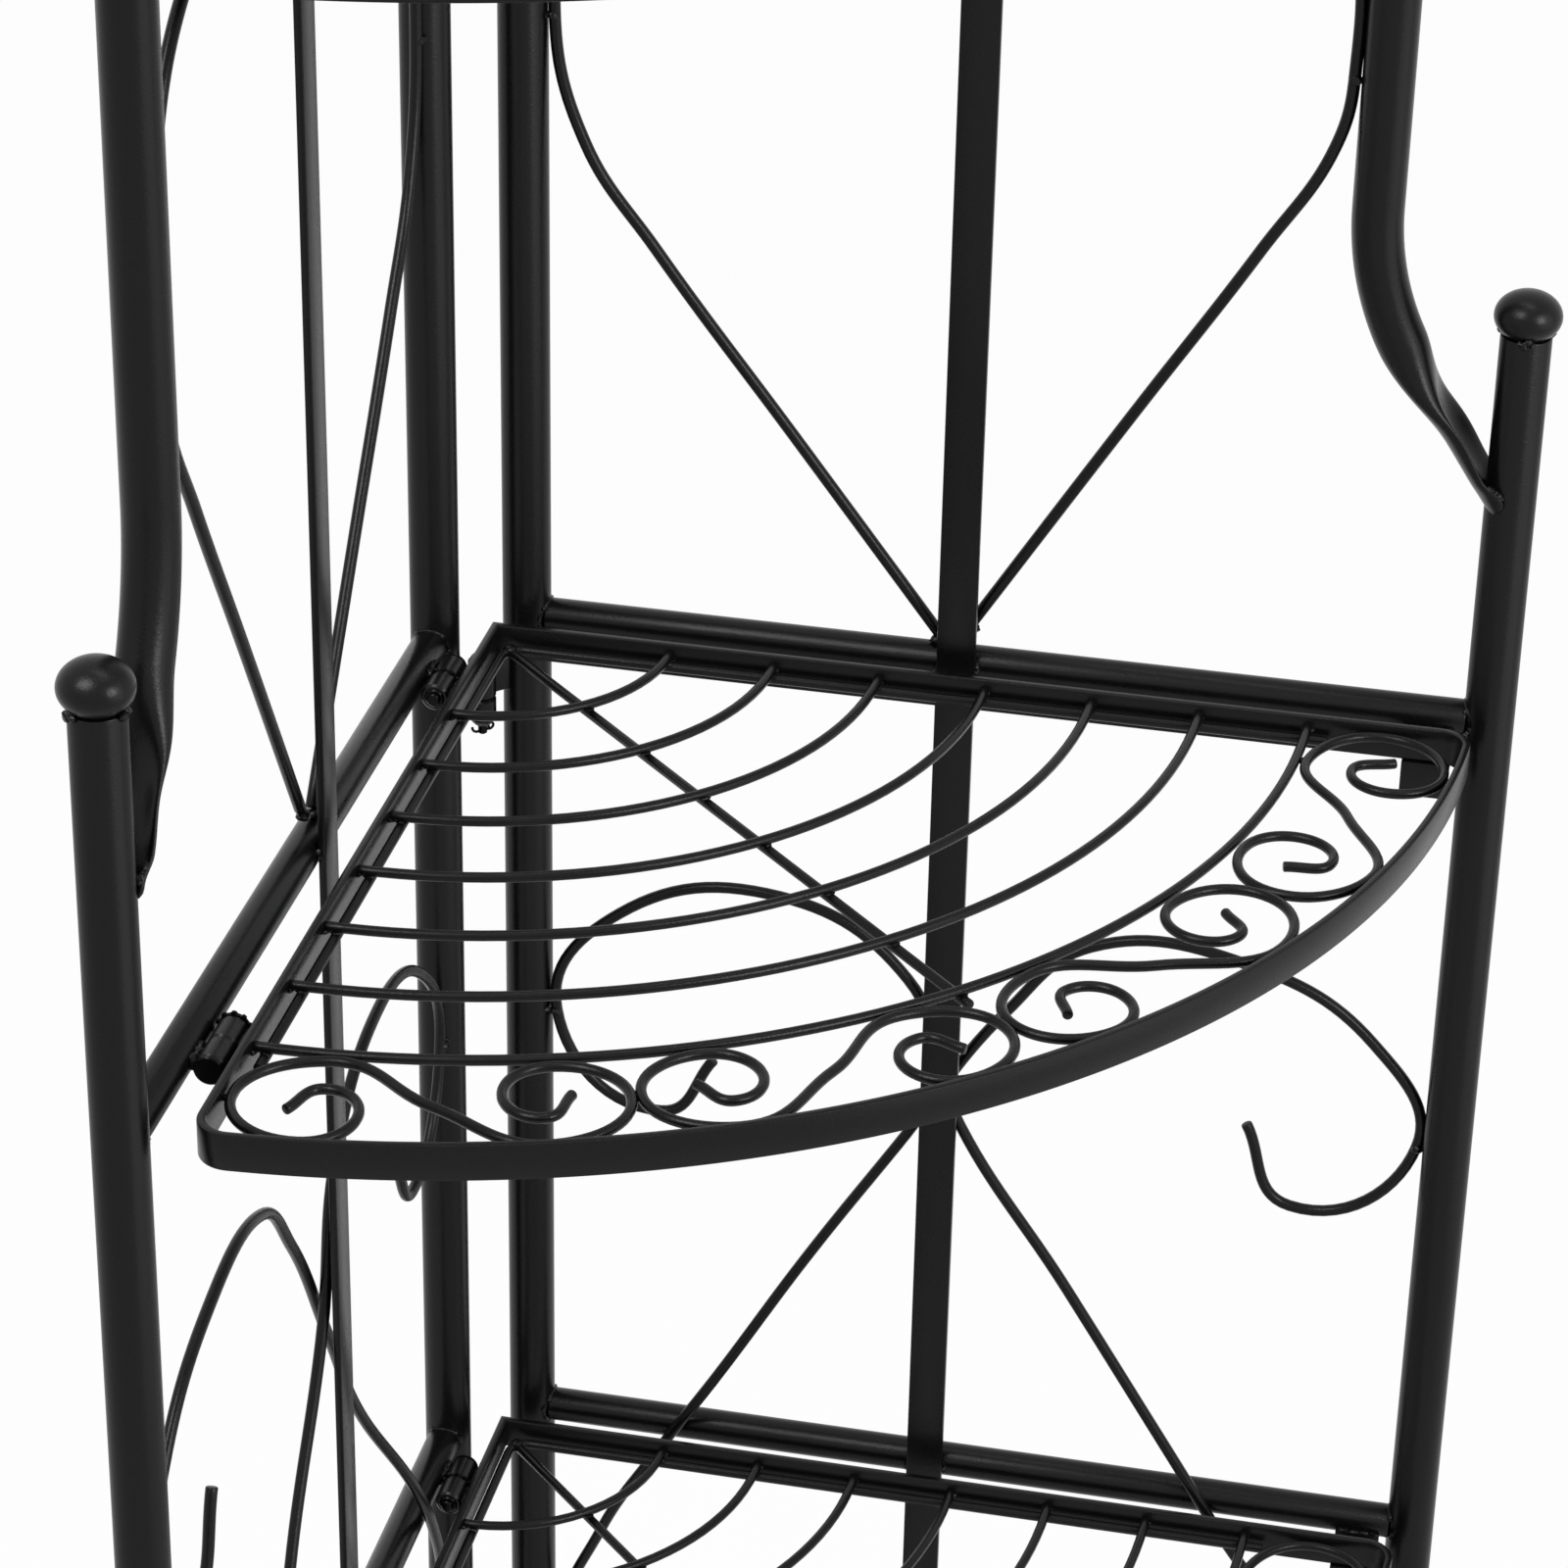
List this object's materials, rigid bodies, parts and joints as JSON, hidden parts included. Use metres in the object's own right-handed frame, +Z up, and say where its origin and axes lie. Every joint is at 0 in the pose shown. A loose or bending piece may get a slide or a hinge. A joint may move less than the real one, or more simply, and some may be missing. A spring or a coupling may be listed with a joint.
{
  "type": "corner plant stand",
  "caption": "Folding corner plant stand of black steel tube with quarter-round wire shelves, scrollwork side panels, ball finials and barrel hinges.",
  "frame": {"origin": "centre of the plan of the whole stand, on the floor", "axes": "+Z up; +X along the right panel away from the rear corner; +Y along the left panel towards the rear corner"},
  "size_m": [0.4286, 0.4286, 1.6212],
  "materials": {
    "powder_coat": "satin black powder coat with a fine grain",
    "hinge_pin": "glossier black coat on the hinge pins",
    "foot_cap": "black plastic cap"
  },
  "bodies": {
    "left_panel": {"left_rear_upright": "powder_coat", "left_front_post": "powder_coat", "left_upper_tube": "powder_coat", "left_post_finial": "powder_coat", "left_upright_finial": "powder_coat", "left_flat_bar": "powder_coat", "left_rail_1": "powder_coat", "left_rail_2": "powder_coat", "left_rail_3": "powder_coat", "left_rail_4": "powder_coat", "left_heart_rear": "powder_coat", "left_heart_front": "powder_coat", "left_cross_wire_rear": "powder_coat", "left_cross_wire_front": "powder_coat", "left_top_scroll_rear": "powder_coat", "left_top_scroll_front": "powder_coat", "left_rear_foot": "foot_cap", "left_front_foot": "foot_cap", "corner_pin_1": "hinge_pin", "corner_pin_2": "hinge_pin", "corner_pin_3": "hinge_pin", "shelf_1_rear_pin": "hinge_pin", "shelf_1_front_pin": "hinge_pin", "shelf_2_rear_pin": "hinge_pin", "shelf_2_front_pin": "hinge_pin", "shelf_3_rear_pin": "hinge_pin", "shelf_3_front_pin": "hinge_pin", "shelf_4_rear_pin": "hinge_pin", "shelf_4_front_pin": "hinge_pin"},
    "right_panel": {"right_rear_upright": "powder_coat", "right_front_post": "powder_coat", "right_upper_tube": "powder_coat", "right_post_finial": "powder_coat", "right_upright_finial": "powder_coat", "right_flat_bar": "powder_coat", "right_rail_1": "powder_coat", "right_rail_2": "powder_coat", "right_rail_3": "powder_coat", "right_rail_4": "powder_coat", "right_heart_rear": "powder_coat", "right_heart_front": "powder_coat", "right_cross_wire_rear": "powder_coat", "right_cross_wire_front": "powder_coat", "right_top_scroll_rear": "powder_coat", "right_top_scroll_front": "powder_coat", "right_rear_foot": "foot_cap", "right_front_foot": "foot_cap"},
    "shelf_1": {"shelf_1_rim": "powder_coat", "shelf_1_grid": "powder_coat", "shelf_1_scroll_band": "powder_coat"},
    "shelf_2": {"shelf_2_rim": "powder_coat", "shelf_2_grid": "powder_coat", "shelf_2_scroll_band": "powder_coat"},
    "shelf_3": {"shelf_3_rim": "powder_coat", "shelf_3_grid": "powder_coat", "shelf_3_scroll_band": "powder_coat"},
    "shelf_4": {"shelf_4_rim": "powder_coat", "shelf_4_grid": "powder_coat", "shelf_4_scroll_band": "powder_coat"}
  },
  "joints": [
    {"name": "corner_hinge", "type": "hinge", "parent": "left_panel", "child": "right_panel", "pos_m": [-0.18735, 0.18735, 0.8], "axis": [0, 0, 1], "range_deg": [0, 90]},
    {"name": "shelf_1_hinge", "type": "hinge", "parent": "left_panel", "child": "shelf_1", "pos_m": [-0.1881, 0, 0.1292], "axis": [0, -1, 0], "range_deg": [0, 65]},
    {"name": "shelf_2_hinge", "type": "hinge", "parent": "left_panel", "child": "shelf_2", "pos_m": [-0.1881, 0, 0.5042], "axis": [0, -1, 0], "range_deg": [0, 65]},
    {"name": "shelf_3_hinge", "type": "hinge", "parent": "left_panel", "child": "shelf_3", "pos_m": [-0.1881, 0, 0.8792], "axis": [0, -1, 0], "range_deg": [0, 65]},
    {"name": "shelf_4_hinge", "type": "hinge", "parent": "left_panel", "child": "shelf_4", "pos_m": [-0.1881, 0, 1.2542], "axis": [0, -1, 0], "range_deg": [0, 75]}
  ]
}
